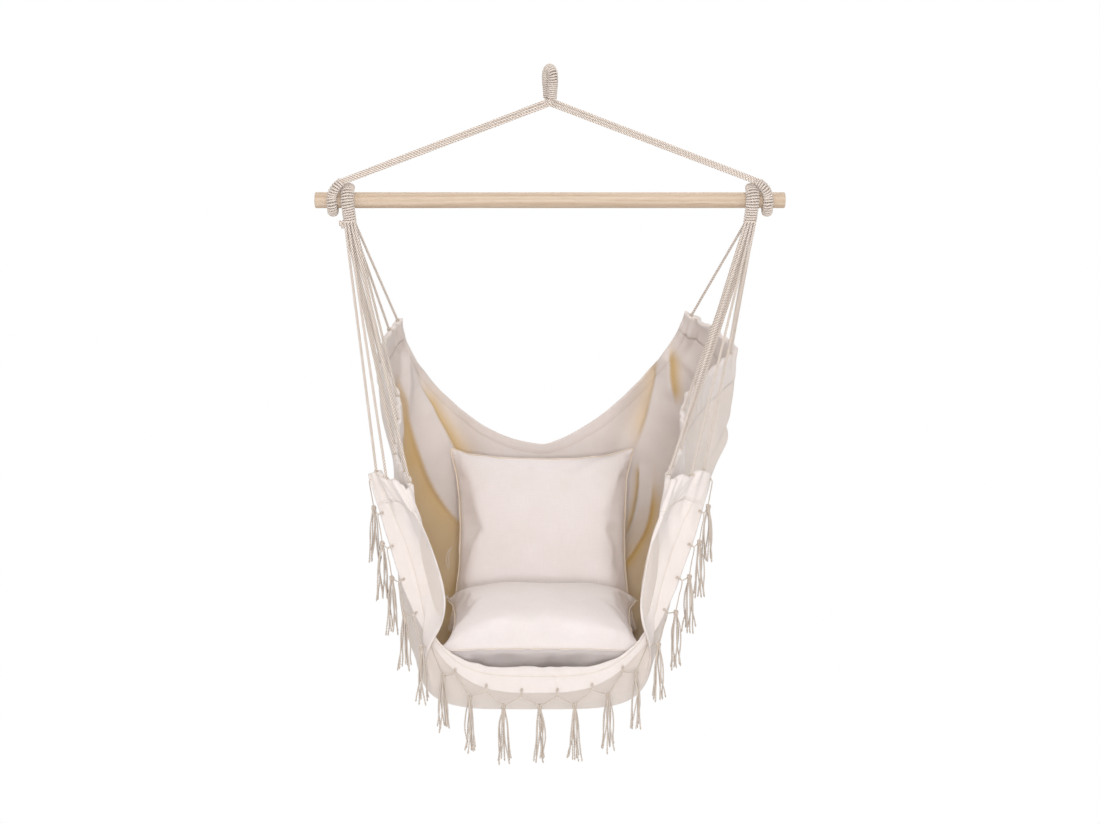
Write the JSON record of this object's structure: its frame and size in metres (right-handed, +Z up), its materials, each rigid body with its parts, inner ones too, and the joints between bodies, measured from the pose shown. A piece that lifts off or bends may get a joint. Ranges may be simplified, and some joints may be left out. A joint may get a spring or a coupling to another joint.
{
  "type": "hanging hammock chair",
  "caption": "Canvas sling chair hung by cord fans from a wooden spreader bar with a rope eye, with a fringed front hem and loose seat and back cushions.",
  "frame": {"origin": "where the hook bears, at the inside top of the rope eye", "axes": "+Z up against the hang, +X along the spreader bar, to the right in a front view; +Y towards the back of the seat; the open front faces -Y"},
  "size_m": [1, 0.757, 1.4116],
  "materials": {
    "cotton_cord": "matte",
    "canvas": "matte",
    "filling": "matte",
    "pale_wood": "satin"
  },
  "bodies": {
    "eye": {"hanging_loop_core": "cotton_cord", "hanging_loop_whipping": "cotton_cord"},
    "neck": {"neck_seizing": "cotton_cord"},
    "hanger": {"spreader_bar": "pale_wood", "left_arm_cord_1": "cotton_cord", "left_arm_cord_2": "cotton_cord", "left_arm_cord_3": "cotton_cord", "left_arm_cord_4": "cotton_cord", "right_arm_cord_1": "cotton_cord", "right_arm_cord_2": "cotton_cord", "right_arm_cord_3": "cotton_cord", "right_arm_cord_4": "cotton_cord", "left_outer_turn_core": "cotton_cord", "left_outer_turn_whipping": "cotton_cord", "left_inner_turn_core": "cotton_cord", "left_inner_turn_whipping": "cotton_cord", "right_outer_turn_core": "cotton_cord", "right_outer_turn_whipping": "cotton_cord", "right_inner_turn_core": "cotton_cord", "right_inner_turn_whipping": "cotton_cord"},
    "seat": {"left_fan_loop_1": "cotton_cord", "left_fan_loop_2": "cotton_cord", "left_fan_loop_3": "cotton_cord", "left_fan_loop_4": "cotton_cord", "left_fan_loop_5": "cotton_cord", "left_fan_loop_6": "cotton_cord", "right_fan_loop_1": "cotton_cord", "right_fan_loop_2": "cotton_cord", "right_fan_loop_3": "cotton_cord", "right_fan_loop_4": "cotton_cord", "right_fan_loop_5": "cotton_cord", "right_fan_loop_6": "cotton_cord", "left_side_hem": "canvas", "right_side_hem": "canvas", "sling_cloth": "canvas", "fringe_net": "cotton_cord", "tassel_01": "cotton_cord", "tassel_02": "cotton_cord", "tassel_03": "cotton_cord", "tassel_04": "cotton_cord", "tassel_05": "cotton_cord", "tassel_06": "cotton_cord", "tassel_07": "cotton_cord", "tassel_08": "cotton_cord", "tassel_09": "cotton_cord", "tassel_10": "cotton_cord", "tassel_11": "cotton_cord", "tassel_12": "cotton_cord", "tassel_13": "cotton_cord", "tassel_14": "cotton_cord", "tassel_15": "cotton_cord", "tassel_16": "cotton_cord", "tassel_17": "cotton_cord"},
    "seat_cushion": {"seat_cushion_cover": "canvas", "seat_cushion_pad": "filling"},
    "back_cushion": {"back_cushion_cover": "canvas", "back_cushion_pad": "filling"}
  },
  "joints": [
    {"name": "twist", "type": "hinge", "parent": "eye", "child": "neck", "pos_m": [0, 0, -0.059], "axis": [0, 0, 1], "range_deg": [-90, 90]},
    {"name": "swing", "type": "hinge", "parent": "neck", "child": "hanger", "pos_m": [0, 0, -0.059], "axis": [1, 0, 0], "range_deg": [-25, 25]},
    {"name": "seat_swing", "type": "hinge", "parent": "hanger", "child": "seat", "pos_m": [0, -0.0278, -0.311], "axis": [1, 0, 0], "range_deg": [-15, 15]},
    {"name": "seat_cushion_lift", "type": "slide", "parent": "seat", "child": "seat_cushion", "axis": [0, 0.1045, 0.9945], "range_m": [0, 0.03]},
    {"name": "back_cushion_lift", "type": "slide", "parent": "seat", "child": "back_cushion", "axis": [0, 0, 1], "range_m": [0, 0.3]}
  ]
}
